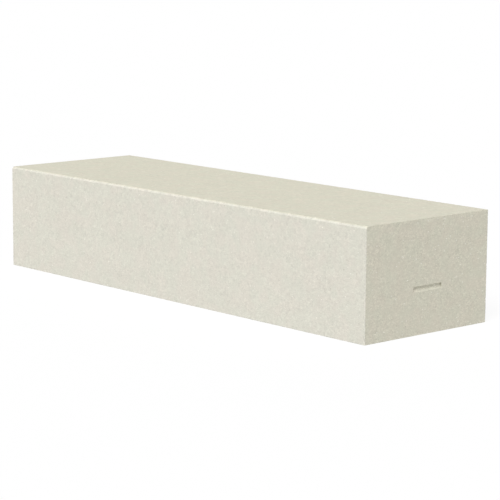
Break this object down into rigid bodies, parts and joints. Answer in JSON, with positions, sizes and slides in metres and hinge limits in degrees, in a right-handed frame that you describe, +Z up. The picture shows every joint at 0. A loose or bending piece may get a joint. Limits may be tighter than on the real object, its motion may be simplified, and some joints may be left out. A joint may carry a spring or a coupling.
{
  "type": "concrete step block",
  "caption": "Solid precast concrete block step, a plain bar with a chamfered front nosing and a shallow lifting slot in each end.",
  "frame": {"origin": "middle of the base, on the surface that the step lies on", "axes": "+X along the length of the step, -Y towards the riser at the front, +Z up to the tread"},
  "size_m": [1, 0.3, 0.2],
  "materials": {
    "cast_concrete": "matte"
  },
  "bodies": {
    "root": {"step_block": "cast_concrete"}
  },
  "joints": []
}
